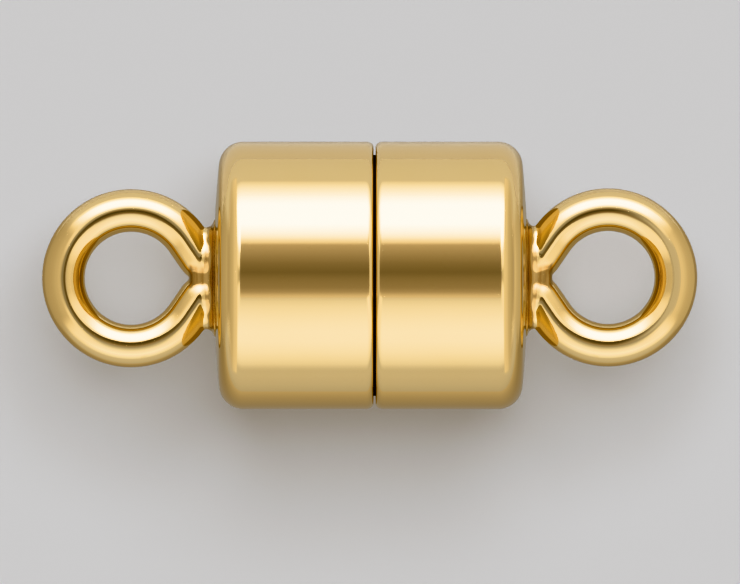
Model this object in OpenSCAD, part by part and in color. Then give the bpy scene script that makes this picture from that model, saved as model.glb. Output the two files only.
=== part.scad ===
// Barrel magnetic clasp: two drawn metal cups that meet rim to rim, a disc magnet in each,
// and a wire eye soldered to each domed end. It lies on its side with both eyes flat.
// The barrel's axis is X, the eyes lie in the XY plane, and the origin is the middle of the
// clasp from eye to eye.

/* [Barrel] */
// Outer diameter of both halves
barrel_d = 6; // [4.6:0.1:10]
// Length of the left half, from its rim to the top of its domed end
left_len = 3.56; // [2.6:0.02:8]
// Length of the right half, from its rim to the top of its domed end
right_len = 3.42; // [2.6:0.02:8]
// Gap between the two rims when the clasp is closed
seam_gap = 0.07; // [0.03:0.01:0.2]
// Radius of the rolled shoulder between the side and the domed end
shoulder_r = 0.55; // [0.4:0.05:0.8]
// Radius of the shallow dome that closes each half
dome_r = 26; // [14:1:60]
// Rounding of the outer edge of each rim
rim_r = 0.12; // [0.04:0.01:0.18]

/* [Cup] */
// Thickness of the side wall
wall = 0.25; // [0.2:0.01:0.5]
// Thickness of the closed end at its middle
end_wall = 0.3; // [0.2:0.02:0.8]
// Rounding inside, where the side wall turns into the closed end
bore_corner = 0.25; // [0.15:0.01:0.5]

/* [Magnets] */
// Clearance round each magnet, for glue in its own cup and as the fit in the other one
magnet_gap = 0.05; // [0.02:0.01:0.12]
// How far the left magnet stands proud of its rim, to centre the right cup
magnet_proud = 0.4; // [0.2:0.05:1]
// Clearance between the two magnet faces when the clasp is closed
face_gap = 0.03; // [0.01:0.01:0.06]

/* [Eyes] */
// Diameter of the wire
wire_d = 0.96; // [0.6:0.02:1.3]
// Diameter of the hole in each eye
eye_hole = 2.08; // [1.4:0.02:3.2]
// From the left eye's wire, at its centreline, to the top of the domed end
left_stem = 0.33; // [0.2:0.01:1]
// From the right eye's wire, at its centreline, to the top of the domed end
right_stem = 0.28; // [0.2:0.01:1]
// How far the hole runs out to a point towards the barrel, past its round edge
point_len = 0.23; // [0.1:0.01:0.4]

/* [Solder] */
// Width of the solder neck across both legs of the wire
neck_w = 2.35; // [1.9:0.05:2.8]
// How far the solder stands above the wire, on both faces of the eye
neck_over = 0.05; // [0.02:0.01:0.15]
// How far the neck climbs up the legs from the domed end
neck_len = 0.25; // [0.2:0.01:0.5]
// Radius of the fillet where the solder spreads over the domed end
foot_r = 0.18; // [0.08:0.01:0.3]

/* [Hidden] */
$fn = 96;
dome_fn = 720;
gold = [0.83, 0.66, 0.38];
nickel = [0.72, 0.72, 0.74];

barrel_r = barrel_d / 2;
bore_r = barrel_r - wall;
magnet_r = bore_r - magnet_gap;
magnet_edge = bore_corner - magnet_gap;
wire_r = wire_d / 2;
hole_r = eye_hole / 2;
loop_r = hole_r + wire_r;
neck_half = neck_w / 2;
neck_r = wire_r + neck_over;

// How far a cut runs past the face that it opens
past = 1;

// The hole's point, and the slope of its sides, which all but touch the hole's round edge
point_at = hole_r + point_len;
point_touch = 0.97;
point_angle = asin(point_touch * hole_r / point_at);

// Centre of the shoulder's arc, and where that arc runs into the dome
shoulder_at = barrel_r - shoulder_r;
shoulder_drop = dome_r - sqrt(pow(dome_r - shoulder_r, 2) - pow(shoulder_at, 2));
dome_edge = shoulder_at * dome_r / (dome_r - shoulder_r);

// How far below the dome's top the solder's foot levels out, just under the dome's surface
foot_bury = 0.02;
foot_drop = dome_r - sqrt(pow(dome_r, 2) - pow(neck_half + foot_r, 2)) + foot_bury;

// The clasp's whole length puts the origin midway, which places the seam
left_reach = left_len + left_stem + 2 * loop_r + wire_r;
right_reach = right_len + right_stem + 2 * loop_r + wire_r;
seam_x = (left_reach - right_reach) / 2;

// The right magnet stands back in its cup by what the left one stands proud
magnet_back = magnet_proud + face_gap - seam_gap;

// Half outline of a closed cup of length len, with the rim at y = 0 and the axis at x = 0
module cup_outline(len) {
    square([barrel_r - rim_r, len - shoulder_drop]);
    translate([0, rim_r]) square([barrel_r, len - shoulder_drop - rim_r]);
    translate([barrel_r - rim_r, rim_r]) circle(r = rim_r);
    translate([shoulder_at, len - shoulder_drop]) circle(r = shoulder_r);
    intersection() {
        translate([0, len - dome_r]) circle(r = dome_r, $fn = dome_fn);
        square([dome_edge, len]);
    }
}

// Half outline of the hollow of such a cup, from past its mouth
module bore_outline(len) {
    depth = len - end_wall;
    translate([0, -past]) square([bore_r, past + depth - bore_corner]);
    translate([bore_r - bore_corner, depth - bore_corner]) circle(r = bore_corner);
    square([bore_r - bore_corner, depth]);
}

// Half outline of a disc magnet of length len, its edges rounded to clear the cup's corner
module magnet_outline(len) {
    square([magnet_r - magnet_edge, len]);
    translate([0, magnet_edge]) square([magnet_r, len - 2 * magnet_edge]);
    for (y = [magnet_edge, len - magnet_edge])
        translate([magnet_r - magnet_edge, y]) circle(r = magnet_edge);
}

// Half outline of the solder's neck and foot, rising along y
module neck_outline() {
    sink = end_wall / 2;
    translate([0, -sink]) square([neck_r, sink + neck_len]);
    difference() {
        translate([0, -sink]) square([neck_r + foot_r, sink - foot_drop + foot_r]);
        translate([neck_r + foot_r, foot_r - foot_drop]) circle(r = foot_r);
    }
}

// A solid turned about the X axis from a half outline
module turned_on_x() {
    rotate([0, 90, 0]) rotate_extrude() children();
}

// The solder: a round-ended neck across both legs, spreading into a foot, along +X
module solder_neck() {
    side = neck_half - neck_r;
    for (turn = [0, 180])
        rotate([turn, 0, 0]) translate([0, side, 0]) rotate([0, 90, 0])
            rotate_extrude(angle = 180) neck_outline();
    rotate([0, -90, -90])
        linear_extrude(height = 2 * side, center = true) {
            neck_outline();
            mirror([1, 0, 0]) neck_outline();
        }
}

// The wire eye: a loop set into the top of the domed end, along +X, whose hole runs out to a
// point where the wire's two ends come together
module wire_eye(stem) {
    point_width = (point_at - hole_r / 2) * tan(point_angle);
    translate([loop_r + stem, 0, 0]) difference() {
        rotate_extrude() translate([loop_r, 0]) circle(d = wire_d);
        linear_extrude(height = 2 * wire_d, center = true)
            polygon([[-point_at, 0], [-hole_r / 2, point_width], [-hole_r / 2, -point_width]]);
    }
}

// One half of the barrel with its rim at x = 0 and its eye on the +X side
module shell(len, stem) {
    color(gold) difference() {
        union() {
            turned_on_x() cup_outline(len);
            translate([len, 0, 0]) solder_neck();
            translate([len, 0, 0]) wire_eye(stem);
        }
        turned_on_x() bore_outline(len);
    }
}

// A magnet from x = front to the glue at the bottom of a cup of length len
module magnet(len, front) {
    color(nickel) translate([front, 0, 0])
        turned_on_x() magnet_outline(len - end_wall - magnet_gap - front);
}

module at_left_rim() {
    translate([seam_x - seam_gap / 2, 0, 0]) mirror([1, 0, 0]) children();
}

module at_right_rim() {
    translate([seam_x + seam_gap / 2, 0, 0]) children();
}

module left_shell() {
    at_left_rim() shell(left_len, left_stem);
}

module left_magnet() {
    at_left_rim() magnet(left_len, -magnet_proud);
}

module right_shell() {
    at_right_rim() shell(right_len, right_stem);
}

module right_magnet() {
    at_right_rim() magnet(right_len, magnet_back);
}

left_shell();
left_magnet();
right_shell();
right_magnet();
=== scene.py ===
from math import asin, copysign, cos, pi, radians, sin, sqrt

import bpy
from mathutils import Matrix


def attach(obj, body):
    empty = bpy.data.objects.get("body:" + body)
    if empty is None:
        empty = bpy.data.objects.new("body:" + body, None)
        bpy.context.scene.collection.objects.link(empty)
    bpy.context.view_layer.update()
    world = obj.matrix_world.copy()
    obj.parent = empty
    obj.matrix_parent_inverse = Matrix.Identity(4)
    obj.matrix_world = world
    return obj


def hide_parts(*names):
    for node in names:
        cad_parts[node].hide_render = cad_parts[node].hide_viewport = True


# A magnetic barrel clasp that lies closed on a pale table: two gold cups with soldered wire
# eyes, and a disc magnet in each. Pieces are drawn in millimetres and brought to metres last.

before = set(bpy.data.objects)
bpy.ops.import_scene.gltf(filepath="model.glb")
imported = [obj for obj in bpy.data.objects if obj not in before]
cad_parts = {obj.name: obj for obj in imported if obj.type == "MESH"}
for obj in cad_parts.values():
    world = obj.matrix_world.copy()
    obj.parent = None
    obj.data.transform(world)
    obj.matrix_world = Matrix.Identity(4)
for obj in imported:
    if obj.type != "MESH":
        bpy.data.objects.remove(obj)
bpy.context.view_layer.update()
print("clasp: frame loaded,", len(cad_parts), "solids")

facings = {"left": -1, "right": 1}  # which way along X each eye points
crease = radians(34)  # edges sharper than this stay crisp
mergeWithin = 0.0005  # doubles closer than this become one

# Cups of the barrel
barrel = {
    "radius": 3.0,
    "length": {"left": 3.585, "right": 3.415},  # rim to the top of the dome
    "rimAt": {"left": 0.085, "right": 0.135},  # x of each rim
    "shoulder": 0.55,
    "dome": 26.0,
    "rim": (0.17, 0.11),  # rolled edge, along and in
    "wall": 0.25,
    "endWall": 0.3,
    "boreCorner": 0.25,
    "mouthEdge": 0.03,
    "rows": {"dome": 44, "shoulder": 26, "rim": 12, "mouth": 3, "bore": 6},
    "sideRows": (0.99, 0.96, 0.9, 0.7, 0.5, 0.3, 0.1, 0.04, 0.01),  # close ones keep it straight
    "boreRows": (0.3, 0.1),  # from the rim, and before the corner
    "endRings": (1.6, 0.8, 0),
    "turns": 256,
}

# Wire eyes
eye = {
    "wire": 0.48,  # radius of the wire
    "loop": 1.52,  # radius of its centreline
    "stem": {"left": 0.33, "right": 0.28},  # wire's centreline to the dome's top
    "aside": {"left": -0.065, "right": -0.047},  # soldered on a little off the axis
    "legsLeave": 34.6,  # degrees from the barrel's direction
    "legsApart": 0.37,  # where the legs end side by side, off the axis
    "bend": 0.26,
    "intoDome": 0.25,  # straight run after the bend
    "around": 128,
    "turns": 160,
    "bendTurns": 24,
    "mirrorMerge": 0.001,
}

# Solder between the wire and the dome, in steps out from the dome: (out, half width, half
# height). Boxy is how flat its top is: 2 is an oval.
solder = {
    "fillet": {
        "boxy": 3.6,
        "steps": [
            (-0.25, 1.33, 0.86), (-0.015, 1.33, 0.84), (0.0, 1.285, 0.74), (0.01, 1.25, 0.63),
            (0.025, 1.215, 0.57), (0.045, 1.19, 0.525), (0.07, 1.17, 0.49), (0.10, 1.155, 0.46),
            (0.14, 1.15, 0.435), (0.18, 1.14, 0.42), (0.22, 1.12, 0.41), (0.26, 1.07, 0.40),
            (0.30, 0.98, 0.39), (0.335, 0.84, 0.375), (0.365, 0.66, 0.35), (0.39, 0.45, 0.31),
        ],
    },
    "web": {
        "boxy": 4,
        "steps": [
            (-0.1, 0.5, 0.47), (0.12, 0.48, 0.445), (0.2, 0.46, 0.425), (0.3, 0.42, 0.402),
            (0.38, 0.37, 0.383), (0.43, 0.31, 0.37), (0.47, 0.24, 0.35), (0.505, 0.18, 0.31),
            (0.53, 0.12, 0.25), (0.545, 0.07, 0.16),
        ],
    },
    "oval": (1, 358.5, 143),  # degrees from and to, and the steps between
    # rounded mounds over the legs' ends: out, off the axis, and half sizes
    "mound": {"out": 0.03, "aside": 0.42, "half": (0.62, 0.60, 0.515), "around": 64, "rings": 32},
    "voxel": 0.0245,
    "softenBy": 0.5,
    "softenAll": 9,
    "softenThroat": 9,
    "throatReach": 0.75,  # how far out from the dome the throat is softened again
    "throatFade": 0.3,
    "trimmedAt": 0.15,  # inside the dome
}


def clearSelection():
    if bpy.context.object and bpy.context.object.mode != 'OBJECT':
        bpy.ops.object.mode_set(mode='OBJECT')
    bpy.ops.object.select_all(action='DESELECT')


def pickOnly(piece):
    clearSelection()
    piece.select_set(True)
    bpy.context.view_layer.objects.active = piece


def editAll(piece):
    pickOnly(piece)
    bpy.ops.object.mode_set(mode='EDIT')
    bpy.ops.mesh.select_all(action='SELECT')


def faceOutwards(piece):
    editAll(piece)
    bpy.ops.mesh.normals_make_consistent(inside=False)
    bpy.ops.object.mode_set(mode='OBJECT')


def extrudeBy(x, y, z):
    bpy.ops.mesh.extrude_region_move(TRANSFORM_OT_translate={"value": (x, y, z)})


def arcPoints(centre, radius, fromDeg, toDeg, steps):
    sweep = [radians(fromDeg + (toDeg - fromDeg) * i / steps) for i in range(steps + 1)]
    return [(centre[0] + radius * cos(a), centre[1] + radius * sin(a)) for a in sweep]


def drawLine(name, points):
    # One vertex, extruded from point to point
    clearSelection()
    bpy.ops.mesh.primitive_plane_add(size=0.1, location=(0, 0, 0))
    line = bpy.context.object
    line.name = name
    bpy.ops.object.mode_set(mode='EDIT')
    bpy.ops.mesh.merge(type='CENTER')
    bpy.ops.transform.translate(value=points[0])
    for here, there in zip(points, points[1:]):
        extrudeBy(*[b - a for a, b in zip(here, there)])
    return line


# A section, as (distance from the rim, radius), is drawn and spun about the barrel's axis
def spinSection(name, side, section, turns):
    rimAt = barrel["rimAt"][side]
    piece = drawLine(name, [(rimAt + facings[side] * out, 0, radius) for out, radius in section])
    editAll(piece)
    bpy.ops.mesh.spin(steps=turns, angle=2 * pi, center=(0, 0, 0), axis=(1, 0, 0))
    bpy.ops.mesh.select_all(action='SELECT')
    bpy.ops.mesh.remove_doubles(threshold=mergeWithin)
    faceOutwards(piece)
    return piece


def applyModifier(piece, kind, **settings):
    pickOnly(piece)
    bpy.ops.object.modifier_add(type=kind)
    modifier = piece.modifiers[-1]
    for key, value in settings.items():
        setattr(modifier, key, value)
    bpy.ops.object.modifier_apply(modifier=modifier.name)


# Shaded smooth up to the crease, and brought from millimetres to metres
def finishPiece(piece):
    pickOnly(piece)
    bpy.ops.object.shade_smooth_by_angle(angle=crease)
    piece.scale = (0.001, 0.001, 0.001)
    bpy.ops.object.transform_apply(location=True, rotation=True, scale=True)


def domeTopOf(side):
    return barrel["rimAt"][side] + facings[side] * barrel["length"][side]


# The cup's section runs from the dome's top round to the bore's end
def cupSection(length):
    radius, shoulder, dome, rows = [barrel[key] for key in ("radius", "shoulder", "dome", "rows")]
    shoulderAt = radius - shoulder
    domeAngle = asin(shoulderAt / (dome - shoulder)) * 180 / pi
    shoulderBack = length - dome + sqrt((dome - shoulder) ** 2 - shoulderAt ** 2)
    points = arcPoints((length - dome, 0), dome, 0, domeAngle, rows["dome"])
    points += arcPoints((shoulderBack, shoulderAt), shoulder, domeAngle, 90, rows["shoulder"])[1:]

    along, inward = barrel["rim"]
    sideLength = shoulderBack - along
    points += [(along + sideLength * share, radius) for share in barrel["sideRows"]]
    points += [
        (along + across * along, radius - inward + up * inward)
        for across, up in arcPoints((0, 0), 1, 90, 180, rows["rim"])]

    bore = radius - barrel["wall"]
    depth = length - barrel["endWall"]
    edge, corner = barrel["mouthEdge"], barrel["boreCorner"]
    points += arcPoints((edge, bore + edge), edge, 180, 270, rows["mouth"])
    fromRim, beforeCorner = barrel["boreRows"]
    points += [(fromRim, bore), (depth - corner - beforeCorner, bore)]
    points += arcPoints((depth - corner, bore - corner), corner, 90, 0, rows["bore"])
    points += [(depth, ring) for ring in barrel["endRings"]]
    return points


# A closed wire tube: half of the loop is spun, runs on straight, bends towards the dome beside
# its other half, and is mirrored
def makeWire(side):
    facing = facings[side]
    eyeAt = domeTopOf(side) + facing * (eye["stem"][side] + eye["loop"])
    leave = radians(eye["legsLeave"])
    bendSide = eye["bend"] * (1 - sin(leave))
    legLength = (eye["loop"] * sin(leave) - eye["legsApart"] - bendSide) / cos(leave)
    bendFrom = eyeAt - facing * (eye["loop"] * cos(leave) + legLength * sin(leave))
    bendCentre = (
        bendFrom - facing * eye["bend"] * cos(leave),
        eye["legsApart"] + bendSide + eye["bend"] * sin(leave), 0)

    clearSelection()
    bpy.ops.mesh.primitive_circle_add(
        vertices=eye["around"], radius=eye["wire"],
        location=(eyeAt + facing * eye["loop"], 0, 0), rotation=(pi / 2, 0, 0))
    wire = bpy.context.object
    wire.name = side + "_wire"
    bpy.ops.object.transform_apply(location=True, rotation=True, scale=True)
    editAll(wire)
    bpy.ops.mesh.spin(
        steps=eye["turns"], angle=pi - leave, center=(eyeAt, 0, 0), axis=(0, 0, -facing))
    extrudeBy(-facing * sin(leave) * legLength, -cos(leave) * legLength, 0)
    bpy.ops.mesh.spin(
        steps=eye["bendTurns"], angle=pi / 2 - leave, center=bendCentre, axis=(0, 0, facing))
    extrudeBy(-facing * eye["intoDome"], 0, 0)
    bpy.ops.mesh.edge_face_add()
    bpy.ops.object.mode_set(mode='OBJECT')
    applyModifier(
        wire, 'MIRROR', use_axis=(False, True, False), merge_threshold=eye["mirrorMerge"])
    faceOutwards(wire)
    return wire


# A run of solder: a flat oval drawn out from the dome in steps
def makeSolder(side, part):
    facing = facings[side]
    flat = 2 / solder[part]["boxy"]
    oval = [
        (0, copysign(abs(across) ** flat, across), copysign(abs(up) ** flat, up))
        for across, up in arcPoints((0, 0), 1, *solder["oval"])]
    run = drawLine(side + "_" + part, oval)
    editAll(run)
    bpy.ops.mesh.edge_face_add()
    steps = solder[part]["steps"]
    out, wide, high = steps[0]
    bpy.ops.transform.resize(value=(1, wide, high))
    bpy.ops.transform.translate(value=(domeTopOf(side) + facing * out, 0, 0))
    for nextOut, nextWide, nextHigh in steps[1:]:
        extrudeBy(facing * (nextOut - out), 0, 0)
        bpy.ops.transform.resize(value=(1, nextWide / wide, nextHigh / high))
        out, wide, high = nextOut, nextWide, nextHigh
    faceOutwards(run)
    return run


def makeMound(side, hand):
    mound = solder["mound"]
    clearSelection()
    bpy.ops.mesh.primitive_uv_sphere_add(
        segments=mound["around"], ring_count=mound["rings"], radius=1, location=(0, 0, 0))
    piece = bpy.context.object
    piece.name = side + "_mound"
    editAll(piece)
    bpy.ops.transform.resize(value=mound["half"])
    bpy.ops.transform.translate(
        value=(domeTopOf(side) + facings[side] * mound["out"], hand * mound["aside"], 0))
    bpy.ops.object.mode_set(mode='OBJECT')
    return piece


# Wire and solder flow into one skin, trimmed inside the cup's end wall, and join the cup
def makeHalf(side):
    facing = facings[side]
    domeTop = domeTopOf(side)
    wire = makeWire(side)
    runs = [makeSolder(side, part) for part in ("fillet", "web")]
    runs += [makeMound(side, hand) for hand in (-1, 1)]
    pickOnly(wire)
    for run in runs:
        run.select_set(True)
    bpy.ops.object.join()
    editAll(wire)
    bpy.ops.transform.translate(value=(0, eye["aside"][side], 0))
    bpy.ops.object.mode_set(mode='OBJECT')
    applyModifier(wire, 'REMESH', mode='VOXEL', voxel_size=solder["voxel"], use_smooth_shade=True)
    applyModifier(wire, 'SMOOTH', factor=solder["softenBy"], iterations=solder["softenAll"])

    throat = wire.vertex_groups.new(name="throat")
    for vertex in wire.data.vertices:
        left = solder["throatReach"] - facing * (vertex.co.x - domeTop)
        if left > 0:
            share = min(1, left / solder["throatFade"])
            throat.add([vertex.index], share * share * (3 - 2 * share), 'REPLACE')
    applyModifier(
        wire, 'SMOOTH', factor=solder["softenBy"], iterations=solder["softenThroat"],
        vertex_group="throat")

    editAll(wire)
    bpy.ops.mesh.bisect(
        plane_co=(domeTop - facing * solder["trimmedAt"], 0, 0), plane_no=(facing, 0, 0),
        use_fill=True, clear_inner=True)
    bpy.ops.object.mode_set(mode='OBJECT')

    section = cupSection(barrel["length"][side])
    half = spinSection(side + "_gold_half", side, section, barrel["turns"])
    applyModifier(half, 'BOOLEAN', operation='UNION', solver='EXACT', object=wire)
    bpy.data.objects.remove(wire)
    finishPiece(half)
    return half


halves = {side: makeHalf(side) for side in ("left", "right")}
for side, half in halves.items():
    print("clasp:", side, "half,", len(half.data.polygons), "faces")

# Disc magnets, glued in the cups
magnet = {
    "radius": 2.70,
    "edge": 0.2,
    "front": {"left": -0.375, "right": 0.355},  # from the rim, along the cup
    "gap": 0.05,
    "faceRings": (0, 0.5, 0.97),  # shares of the flat face
    "sideInset": 0.3,
    "rows": {"front": 10, "back": 6},
    "turns": 192,
}


def makeMagnet(side):
    radius, edge, inset = magnet["radius"], magnet["edge"], magnet["sideInset"]
    front = magnet["front"][side]
    back = barrel["length"][side] - barrel["endWall"] - magnet["gap"]
    flat = radius - edge
    section = [(front, flat * share) for share in magnet["faceRings"]]
    section += arcPoints((front + edge, flat), edge, 180, 90, magnet["rows"]["front"])
    section += [(front + inset, radius), (back - inset, radius)]
    section += arcPoints((back - edge, flat), edge, 90, 0, magnet["rows"]["back"])
    section += [(back, 0)]
    disc = spinSection(side + "_magnet_disc", side, section, magnet["turns"])
    finishPiece(disc)
    return disc


magnets = {side: makeMagnet(side) for side in ("left", "right")}
print("clasp: magnets made")


# Materials, as node trees
def newMaterial(name):
    material = bpy.data.materials.new(name)
    material.use_nodes = True
    material.node_tree.nodes.clear()
    return material, material.node_tree


def feed(tree, socket, value):
    # A socket takes another node's output or a fixed value
    if isinstance(value, bpy.types.NodeSocket):
        tree.links.new(value, socket)
    else:
        socket.default_value = value


def newMath(tree, kind, *values):
    node = tree.nodes.new("ShaderNodeMath")
    node.operation = kind
    for socket, value in zip(node.inputs, values):
        feed(tree, socket, value)
    return node.outputs["Value"]


def newVectorMath(tree, kind, *values):
    node = tree.nodes.new("ShaderNodeVectorMath")
    node.operation = kind
    for socket, value in zip(node.inputs, values):
        feed(tree, socket, value)
    return node.outputs["Value" if kind == 'LENGTH' else "Vector"]


def newSpan(tree, value, low, high, atLow=0, atHigh=1, kind='LINEAR'):
    span = tree.nodes.new("ShaderNodeMapRange")
    span.interpolation_type = kind
    span.inputs["From Min"].default_value = low
    span.inputs["From Max"].default_value = high
    span.inputs["To Min"].default_value = atLow
    span.inputs["To Max"].default_value = atHigh
    tree.links.new(value, span.inputs["Value"])
    return span.outputs["Result"]


def newRamp(tree, value, stops, peak=1, tint=(1, 1, 1)):
    # Levels along a run of angles or lengths, as a colour ramp from 0 to 1
    low, high = stops[0][0], stops[-1][0]
    ramp = tree.nodes.new("ShaderNodeValToRGB")
    elements = ramp.color_ramp.elements
    while len(elements) < len(stops):
        elements.new(0.5)
    for element, (at, level) in zip(elements, stops):
        element.position = (at - low) / (high - low)
        element.color = [level / peak * part for part in tint] + [1]
    tree.links.new(newSpan(tree, value, low, high), ramp.inputs["Fac"])
    return ramp.outputs["Color"]


def newBlend(tree, share, first, second):
    blend = tree.nodes.new("ShaderNodeMix")
    blend.data_type = 'RGBA'
    for name, value in (("Factor", share), ("A", first), ("B", second)):
        feed(tree, blend.inputs[name], value)
    return blend.outputs["Result"]


def newNoise(tree, vector, scale, detail):
    noise = tree.nodes.new("ShaderNodeTexNoise")
    noise.inputs["Scale"].default_value = scale
    noise.inputs["Detail"].default_value = detail
    tree.links.new(vector, noise.inputs["Vector"])
    return noise.outputs["Fac"]


def newBump(tree, height, distance):
    bump = tree.nodes.new("ShaderNodeBump")
    bump.inputs["Distance"].default_value = distance
    tree.links.new(height, bump.inputs["Height"])
    return bump.outputs["Normal"]


def newShader(tree, kind, settings):
    shader = tree.nodes.new(kind)
    for name, value in settings.items():
        feed(tree, shader.inputs[name], value)
    return shader.outputs[0]


def mixShaders(tree, share, first, second):
    mixed = tree.nodes.new("ShaderNodeMixShader")
    for socket, value in zip(mixed.inputs, (share, first, second)):
        tree.links.new(value, socket)
    return mixed.outputs["Shader"]


def showSurface(tree, shader, kind="ShaderNodeOutputMaterial"):
    output = tree.nodes.new(kind)
    tree.links.new(shader, output.inputs["Surface"])


def objectPlace(tree):
    return tree.nodes.new("ShaderNodeTexCoord").outputs["Object"]


def newParts(tree, vector):
    parts = tree.nodes.new("ShaderNodeSeparateXYZ")
    tree.links.new(vector, parts.inputs["Vector"])
    return parts.outputs["X"], parts.outputs["Y"], parts.outputs["Z"]


def distanceFromAxis(tree, vector):
    return newVectorMath(tree, 'LENGTH', newVectorMath(tree, 'MULTIPLY', vector, (0, 1, 1)))


def paint(piece, material):
    piece.data.materials.clear()
    piece.data.materials.append(material)


inMillimetres = (1000, 1000, 1000)

gold = {
    "colour": (0.985, 0.77, 0.43, 1),
    "worn": (0.97, 0.75, 0.40, 1),
    "smooth": 0.045,
    "dull": 0.085,
    "haze": (0.35, 0.75),  # from where to where in the noise it dulls
    "grain": 900,
    "grainDetail": 4,
    "polish": 0.0000003,  # height of the polishing marks, in metres
    "streaks": (14, 1.6, 1.6),  # to the millimetre, round the clasp
    "streakDetail": 5,
    # painted shade on the solder, brown in the throat's creases and in the web between the legs,
    # which are also made duller: where along the clasp, how far from its axis, and how it looks
    "middle": 0.025,  # x midway between the eyes
    "solderAlong": [
        (3.30, 0), (3.42, 0.3), (3.50, 0.75), (3.68, 0.7), (3.76, 0.95), (4.04, 1), (4.10, 0)],
    "solderReach": [(3.30, 1.3), (3.64, 1.25), (3.74, 0.5), (4.10, 0.47)],
    "solderWidest": 1.3,
    "solderEdge": (0.92, 1.08),
    # painted shade: the brown of the throat's dark creases
    "solderShadeColour": (0.46, 0.30, 0.135, 1),
    "solderDull": 0.07,
    "solderStreaks": (0.3, 0.7, 0.6, 1.0),  # noise from and to, and how much shows there
}


def makeGold():
    material, tree = newMaterial("polished_gold")
    place = objectPlace(tree)
    cloud = newNoise(tree, place, gold["grain"], gold["grainDetail"])
    tone = newBlend(tree, cloud, gold["colour"], gold["worn"])
    haze = newSpan(tree, cloud, *gold["haze"], gold["smooth"], gold["dull"])

    # where the solder is, which gets the painted shade
    spot = newVectorMath(tree, 'MULTIPLY', place, inMillimetres)
    along = newMath(
        tree, 'ABSOLUTE', newMath(tree, 'SUBTRACT', newParts(tree, spot)[0], gold["middle"]))
    reach = newRamp(tree, along, gold["solderReach"], gold["solderWidest"])
    within = newMath(
        tree, 'DIVIDE', distanceFromAxis(tree, spot),
        newMath(tree, 'MULTIPLY', reach, gold["solderWidest"]))
    soldered = newMath(
        tree, 'MULTIPLY', newRamp(tree, along, gold["solderAlong"]),
        newSpan(tree, within, *gold["solderEdge"], 1, 0, 'SMOOTHSTEP'))

    # streaks that break up the solder's painted shade and dull finish, and the marks that
    # polishing left everywhere
    stretched = newVectorMath(tree, 'MULTIPLY', spot, gold["streaks"])
    streaks = newNoise(tree, stretched, 1, gold["streakDetail"])
    shadedAndDulled = newMath(
        tree, 'MULTIPLY', soldered, newSpan(tree, streaks, *gold["solderStreaks"]))
    rough = newMath(tree, 'ADD', haze, newMath(tree, 'MULTIPLY', shadedAndDulled, gold["solderDull"]))
    showSurface(tree, newShader(tree, "ShaderNodeBsdfPrincipled", {
        # painted shade: the throat's creases and web darkened to brown
        "Base Color": newBlend(tree, shadedAndDulled, tone, gold["solderShadeColour"]),
        "Metallic": 1,
        "Roughness": rough,
        "Normal": newBump(tree, streaks, gold["polish"]),
    }))
    return material


nickel = {
    "colour": (0.80, 0.785, 0.76, 1),
    "stained": (0.75, 0.73, 0.70, 1),
    "stains": 1500,
    "stainDetail": 6,
    "stain": (0.45, 0.75),  # from where to where in the noise it stains
    "smooth": 0.15,
    "dull": 0.21,
    "haze": (0.35, 0.7),  # and where it dulls
    "lapping": (6000, 700, 9000),  # to the metre
    "lappingDetail": 4,
    "grain": 0.0000004,  # height of the lapping marks, in metres
    # painted shade: a near-black ring on the disc's side where it sits in the shadowed seam
    # between the cups; how it looks, how far off the axis, and where it ends
    "glue": (0.016, 0.010, 0.007, 1),
    "glueRough": 0.7,
    "glueShine": 0.1,
    "glueStarts": (0.00262, 0.00267),
    "glueEnds": (0.00018, 0.00022),
}


def makeNickel():
    material, tree = newMaterial("nickel_plate")
    place = objectPlace(tree)
    cloud = newNoise(tree, place, nickel["stains"], nickel["stainDetail"])
    stretched = newVectorMath(tree, 'MULTIPLY', place, nickel["lapping"])
    lapped = newNoise(tree, stretched, 1, nickel["lappingDetail"])
    stain = newSpan(tree, cloud, *nickel["stain"])
    plate = newShader(tree, "ShaderNodeBsdfPrincipled", {
        "Base Color": newBlend(tree, stain, nickel["colour"], nickel["stained"]),
        "Metallic": 1,
        "Roughness": newSpan(tree, cloud, *nickel["haze"], nickel["smooth"], nickel["dull"]),
        "Normal": newBump(tree, lapped, nickel["grain"]),
    })
    # painted shade: a near-black surface for the disc's side in the seam's shadow
    glue = newShader(tree, "ShaderNodeBsdfPrincipled", {
        "Base Color": nickel["glue"],
        "Roughness": nickel["glueRough"],
        "Specular IOR Level": nickel["glueShine"],
    })
    # where the painted seam shade lies: on the disc's side, up to the seam between the cups
    seamShadeMask = newMath(
        tree, 'MULTIPLY', newSpan(tree, distanceFromAxis(tree, place), *nickel["glueStarts"]),
        newSpan(tree, newParts(tree, place)[0], *nickel["glueEnds"], 1, 0))
    showSurface(tree, mixShaders(tree, seamShadeMask, plate, glue))
    return material


goldMetal = makeGold()
nickelPlate = makeNickel()
for side in ("left", "right"):
    paint(halves[side], goldMetal)
    paint(magnets[side], nickelPlate)
    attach(halves[side], side + "_half")
    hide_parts(side + "_shell")
    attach(magnets[side], side + "_half")
    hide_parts(side + "_magnet")
    # the table's shade comes from the keys alone, so the gold throws no stray glow on it
    for piece in (halves[side], magnets[side]):
        piece.visible_diffuse = False
print("clasp: gold and nickel on")

# Table
table = {
    "size": 4, "level": -0.003, "colour": (0.682, 0.678, 0.678, 1), "rough": 0.9, "shine": 0}


def makeTable():
    clearSelection()
    bpy.ops.mesh.primitive_plane_add(size=table["size"], location=(0, 0, table["level"]))
    top = bpy.context.object
    top.name = "table"
    bpy.ops.object.transform_apply(location=True, rotation=True, scale=True)
    material, tree = newMaterial("pale_paper")
    showSurface(tree, newShader(tree, "ShaderNodeBsdfPrincipled", {
        "Base Color": table["colour"],
        "Roughness": table["rough"],
        "Specular IOR Level": table["shine"],
    }))
    paint(top, material)


makeTable()

warm = (1.04, 0.98, 0.87)
white = (1, 1, 1)

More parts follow.
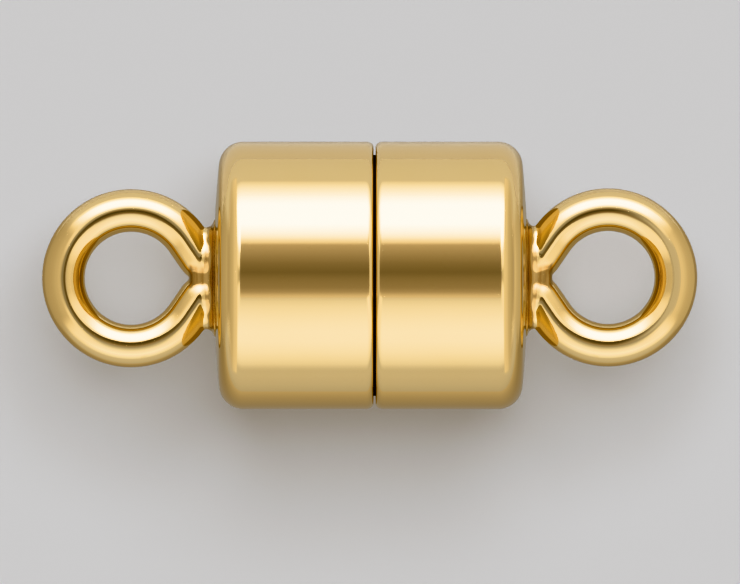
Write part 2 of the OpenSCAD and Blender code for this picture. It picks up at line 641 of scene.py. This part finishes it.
# Studio light: what the metal mirrors, by angle across the barrel (degrees from straight up,
# positive towards +Y) and along it
studio = {
    "across": [
        (-90, 1.3), (-62, 1.4), (-50, 1.45), (-42, 1.28), (-32, 0.95), (-21, 0.6),
        (-14, 0.45), (-9, 0.33), (-5, 0.27), (0, 0.25), (5, 0.27), (9, 0.34), (14, 0.5),
        (20, 1.6), (27, 6.5), (33, 12.5), (50, 15.5), (70, 14.0), (90, 12.0),
    ],
    "toEnds": [(0, 0.0), (7, 0.0), (12, 0.5), (18, 0.95), (24, 1.0), (90, 1.0)],
    # by degrees off the barrel in plan: where the ends show, and how bright they are
    "endWedge": [
        (0, 1.0), (40, 1.0), (46, 0.95), (53, 0.8), (60, 0.5), (68, 0.15), (76, 0.0), (90, 0.0)],
    "endGain": [(0, 0.4), (13, 0.42), (20, 0.55), (28, 0.8), (36, 0.9), (90, 1.0)],
    "endBoost": 2.5,
    "endTint": warm,
    "ends": [
        (-90, 0.36), (-82, 0.35), (-66, 0.38), (-50, 0.42), (-35, 0.45), (-20, 0.46), (0, 0.5),
        (20, 0.52), (35, 0.57), (46, 0.57), (60, 0.5), (72, 0.44), (82, 0.42), (90, 0.42),
    ],
    "peak": 16,
    # by height, for what shows twice mirrored
    "echo": [(-1, 0.18), (0, 0.32), (0.2, 0.40), (0.4, 0.48), (0.6, 0.52), (0.8, 0.36), (1, 0.2)],
    "echoTint": (1.0, 0.92, 0.62),
    "pale": (0.48, 0.478, 0.476, 1),
    "fill": (0.403, 0.364, 0.31, 1),  # what the table gets besides the keys
}
secondMirror = 1.5  # glossy depth past which a ray is mirrored twice
offTable = 0.5  # diffuse depth past which a ray left the table


def makeStudio():
    world = bpy.data.worlds.new("soft_studio")
    bpy.context.scene.world = world
    world.use_nodes = True
    world.cycles.sampling_method = 'NONE'
    tree = world.node_tree
    tree.nodes.clear()

    x, y, z = newParts(tree, tree.nodes.new("ShaderNodeTexCoord").outputs["Generated"])
    across = newMath(tree, 'DEGREES', newMath(tree, 'ARCTAN2', y, z))
    along = newMath(tree, 'DEGREES', newMath(tree, 'ARCSINE', x))
    offBarrel = newMath(tree, 'DEGREES', newMath(
        tree, 'ARCTAN2', newMath(tree, 'ABSOLUTE', y), newMath(tree, 'ABSOLUTE', x)))
    boxes = newRamp(tree, across, studio["across"], studio["peak"])
    ends = newRamp(tree, along, studio["ends"], studio["peak"], studio["endTint"])
    gain = newMath(
        tree, 'MULTIPLY', newRamp(tree, offBarrel, studio["endGain"]), studio["endBoost"])
    brighter = tree.nodes.new("ShaderNodeVectorMath")
    brighter.operation = 'SCALE'
    feed(tree, brighter.inputs[0], ends)
    feed(tree, brighter.inputs["Scale"], gain)
    toEnds = newMath(
        tree, 'MULTIPLY', newRamp(tree, newMath(tree, 'ABSOLUTE', along), studio["toEnds"]),
        newRamp(tree, offBarrel, studio["endWedge"]))
    mirrored = newBlend(tree, toEnds, boxes, brighter.outputs["Vector"])

    # softer light for what shows twice mirrored, and plain light for the table
    backdrop = "ShaderNodeBackground"
    echoes = newRamp(tree, z, studio["echo"], 1, studio["echoTint"])
    seen = newShader(tree, backdrop, {"Color": mirrored, "Strength": studio["peak"]})
    echo = newShader(tree, backdrop, {"Color": echoes})
    fill = newShader(tree, backdrop, {"Color": studio["fill"]})
    plain = newShader(tree, backdrop, {"Color": studio["pale"]})
    rays = tree.nodes.new("ShaderNodeLightPath").outputs
    twice = newMath(tree, 'GREATER_THAN', rays["Glossy Depth"], secondMirror)
    onTable = newMath(tree, 'GREATER_THAN', rays["Diffuse Depth"], offTable)
    layers = mixShaders(tree, rays["Is Glossy Ray"], plain, seen)
    layers = mixShaders(tree, twice, layers, echo)
    layers = mixShaders(tree, onTable, layers, fill)
    showSurface(tree, layers, "ShaderNodeOutputWorld")


# Cards round the clasp that only the metal mirrors, in millimetres. Axes name what levels and
# cover run along, and then what fade does: its middle, and how far from it the card is whole and
# gone. A card can be kept to rays that start above or below a height, off the axis or within
# reach, or to those that are mirrored twice.
shoulderFlag = {
    "size": (16.0, 16.0), "lean": (0, 90), "axes": "rz",
    "levels": [
        (2.4, 0.22), (2.8, 0.25), (3.3, 0.33), (3.9, 0.42), (4.5, 0.47), (5.0, 0.56),
        (6.0, 0.60), (8.0, 0.60),
    ],
    "cover": [(2.4, 1), (6.3, 1), (6.7, 0.93), (7.0, 0.6), (7.4, 0), (8.0, 0)],
    "fade": (9.0, 7.4, 7.8), "off": 1.85, "tint": warm,
}
endFlag = {
    "size": (27.0, 22.0), "lean": (0, 90), "axes": "zy",
    "cover": [(-3, 1), (12, 1), (24, 0)],
    "fade": (0.4, 4.0, 7.5), "tint": warm,
}
lens = {
    "size": (6.4, 7.4), "lean": (0, 0), "axes": "yx",
    "levels": [(-3.2, 0.45), (-1.2, 0.18), (0.2, 0.12), (1.3, 0.06), (2.2, 0.16), (4.2, 0.4)],
    "cover": [(-3.2, 0), (-1.7, 1), (2.7, 1), (4.2, 0)],
    "below": 0.6, "reach": 14.5, "tint": (1.1, 0.97, 0.82),
}
cards = {
    "barrel_flag": {
        "centre": (0, 2.0, 8), "size": (8.6, 9.0), "lean": (0, 0), "axes": "yx",
        "levels": [
            (-2.4, 0.54), (-2.1, 0.52), (-1.65, 0.33), (-1.2, 0.265), (-0.45, 0.235), (0.3, 0.18),
            (1.1, 0.22), (2.3, 0.32), (3.0, 0.38), (3.5, 0.46), (6.4, 0.48),
        ],
        "cover": [
            (-2.4, 0), (-2.1, 1), (3.2, 1), (3.87, 0.93), (4.34, 0.82), (5.0, 0.63),
            (5.75, 0.36), (6.4, 0),
        ],
        "fade": (0, 3.6, 4.2), "above": 0.6, "tint": (1.07, 0.98, 0.87),
    },
    "left_shoulder_flag": {**shoulderFlag, "centre": (-4.6, 0, 3.0)},
    "right_shoulder_flag": {**shoulderFlag, "centre": (4.6, 0, 3.0)},
    "left_flag": {
        **endFlag, "centre": (-12.2, 0, 10.5),
        "levels": [
            (-3, 0.34), (0, 0.37), (3, 0.40), (5.7, 0.44), (9.8, 0.47), (15, 0.5), (24, 0.5)],
    },
    "right_flag": {
        **endFlag, "centre": (12.2, 0, 10.5),
        "levels": [
            (-3, 0.4), (0, 0.42), (2.2, 0.45), (4, 0.51), (6.6, 0.57), (9.8, 0.57), (24, 0.53)],
    },
    "back_sill": {
        "centre": (0, 10.3, 2.0), "size": (80, 10.0), "lean": (90, 0), "axes": "zx",
        "levels": [(-3, 0.51), (0, 0.53), (4, 0.55), (7, 0.60)],
        "cover": [
            (-3, 1), (2.2, 1), (2.8, 0.98), (3.4, 0.94), (4.3, 0.86), (5.0, 0.74), (5.8, 0.48),
            (6.6, 0.12), (7, 0),
        ],
        "fade": (0, 30, 40), "tint": white,
    },
    "front_sill": {
        "centre": (0, -10.3, 2.5), "size": (80, 11.0), "lean": (90, 0), "axes": "zx",
        "levels": [(-3, 0.40), (-1, 0.45), (1, 0.48), (4, 0.48), (8, 0.5)],
        "cover": [
            (-3, 1), (2.0, 1), (2.5, 0.96), (3.3, 0.81), (4.0, 0.68), (4.85, 0.52), (5.6, 0.35),
            (6.4, 0.22), (7.2, 0.1), (8, 0),
        ],
        "fade": (0, 30, 40), "tint": white,
    },
    "floor_shade": {
        "centre": (0, -17.5, -2.97), "size": (80, 45), "lean": (0, 0), "axes": "yx",
        "levels": [
            (-40, 0.46), (-25, 0.46), (-16, 0.44), (-10, 0.40), (-7, 0.32), (-5, 0.27), (-3, 0.26),
            (0, 0.27), (3.2, 0.30), (4.5, 0.34),
        ],
        "cover": [(-40, 0), (-30, 1), (3.0, 1), (4.5, 0)],
        "fade": (0, 30, 40), "tint": (1.05, 0.97, 0.83),
    },
    "floor_echo": {
        "centre": (0, 0, -2.96), "size": (40, 40), "lean": (0, 0), "axes": "yx",
        "levels": [(-20, 0.2), (20, 0.2)],
        "cover": [(-20, 1), (20, 1)],
        "fade": (0, 18, 20), "twice": True, "tint": (1.0, 0.85, 0.5),
    },
    "left_lens": {**lens, "centre": (-5.7, 0.5, 13), "fade": (-5.6, 0.8, 1.3)},
    "right_lens": {**lens, "centre": (5.4, 0.5, 13), "fade": (5.4, 0.8, 1.3)},
    "right_fill": {
        "centre": (7.2, -0.05, 4), "size": (3.4, 4.4), "lean": (0, 0), "axes": "xy",
        "levels": [(5.5, 0.45), (8.9, 0.47)],
        "cover": [(5.5, 0), (6.4, 1), (8.2, 1), (8.9, 0)],
        "fade": (-0.05, 1.1, 2.2), "above": -0.3, "tint": white,
    },
}
cardSoftness = 0.15  # either side of a height, a radius or a reach


def makeCard(name, card):
    clearSelection()
    bpy.ops.mesh.primitive_plane_add(
        size=1, location=[part / 1000 for part in card["centre"]],
        rotation=(radians(card["lean"][0]), radians(card["lean"][1]), 0))
    piece = bpy.context.object
    piece.name = name
    piece.scale = (card["size"][0] / 1000, card["size"][1] / 1000, 1)
    bpy.ops.object.transform_apply(location=True, rotation=True, scale=True)
    piece.visible_camera = False
    piece.visible_diffuse = False
    piece.visible_transmission = False
    piece.visible_shadow = False

    material, tree = newMaterial(name)
    place = newVectorMath(tree, 'MULTIPLY', objectPlace(tree), inMillimetres)
    axes = dict(zip("xyz", newParts(tree, place)), r=distanceFromAxis(tree, place))
    run, other = [axes[letter] for letter in card["axes"]]
    levels = newRamp(tree, run, card["levels"], 1, card["tint"])
    glow = newShader(tree, "ShaderNodeEmission", {"Color": levels})
    middle, whole, gone = card["fade"]
    offMiddle = newMath(tree, 'ABSOLUTE', newMath(tree, 'SUBTRACT', other, middle))
    cover = newMath(
        tree, 'MULTIPLY', newRamp(tree, run, card["cover"]),
        newSpan(tree, offMiddle, whole, gone, 1, 0, 'SMOOTHSTEP'))

    # how high, and how far off the axis, a mirrored ray set out that came straight here
    rays = tree.nodes.new("ShaderNodeLightPath").outputs
    length = newMath(tree, 'MULTIPLY', rays["Ray Length"], 1000)
    height = newMath(tree, 'SUBTRACT', axes["z"], length)
    offAxis = newMath(tree, 'SUBTRACT', axes["r"], length)
    rules = {
        "above": (height, 0, 1), "below": (height, 1, 0), "off": (offAxis, 0, 1),
        "reach": (length, 1, 0)}
    for rule, (value, atLow, atHigh) in rules.items():
        if rule in card:
            low, high = card[rule] - cardSoftness, card[rule] + cardSoftness
            cover = newMath(
                tree, 'MULTIPLY', cover, newSpan(tree, value, low, high, atLow, atHigh))
    if "twice" in card:
        twice = newMath(tree, 'GREATER_THAN', rays["Glossy Depth"], secondMirror)
        cover = newMath(tree, 'MULTIPLY', cover, twice)
    clear = newShader(tree, "ShaderNodeBsdfTransparent", {})
    showSurface(tree, mixShaders(tree, cover, clear, glow))
    paint(piece, material)


makeStudio()
for name, card in cards.items():
    makeCard(name, card)

# Soft keys from the +Y side, which only light the table
keyColour = (0.769, 0.862, 1.0)
keyPlace = (0, 0.1, 0.2)
keys = {
    "soft_key": {"strength": 1.223, "lean": 24, "turn": 6, "softness": 50},
    "high_key": {"strength": 0.125, "lean": 8, "turn": 2, "softness": 16},
}
for name, key in keys.items():
    clearSelection()
    bpy.ops.object.light_add(
        type='SUN', location=keyPlace, rotation=(-radians(key["lean"]), radians(key["turn"]), 0))
    sun = bpy.context.object
    sun.name = name
    sun.data.energy = key["strength"]
    sun.data.color = keyColour
    sun.data.angle = radians(key["softness"])
    sun.visible_glossy = False
    sun.data.cycles.use_multiple_importance_sampling = False

# A small glow on the table inside each eye, where the wire's inner side throws light down
glows = {
    "left": {"watts": 0.0022, "x": -5.3}, "right": {"watts": 0.0032, "x": 5.35},
    "y": 0.4, "height": 30, "cone": 5.4, "blend": 0.6, "lamp": 0.4,
}
for side in ("left", "right"):
    clearSelection()
    bpy.ops.object.light_add(
        type='SPOT', rotation=(0, 0, 0),
        location=(glows[side]["x"] / 1000, glows["y"] / 1000, glows["height"] / 1000))
    spot = bpy.context.object
    spot.name = side + "_eye_glow"
    spot.data.energy = glows[side]["watts"]
    spot.data.spot_size = radians(glows["cone"])
    spot.data.spot_blend = glows["blend"]
    spot.data.shadow_soft_size = glows["lamp"] / 1000
    spot.visible_glossy = False
    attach(spot, side + "_half")

# Camera straight above
shot = {
    "height": 0.36, "aside": 0.0000079, "down": -0.0003725, "width": 0.0166,
    "sensor": 36, "clip": (0.001, 10)}
bpy.ops.object.camera_add(
    location=(shot["aside"], shot["down"], shot["height"]), rotation=(0, 0, 0))
camera = bpy.context.object
camera.name = "camera"
camera.data.sensor_width = shot["sensor"]
camera.data.lens = shot["sensor"] * shot["height"] / shot["width"]
camera.data.clip_start, camera.data.clip_end = shot["clip"]
scene = bpy.context.scene
scene.camera = camera
scene.view_settings.view_transform = 'Khronos PBR Neutral'
scene.view_settings.look = 'High Contrast'
print("clasp: table, light and camera set")
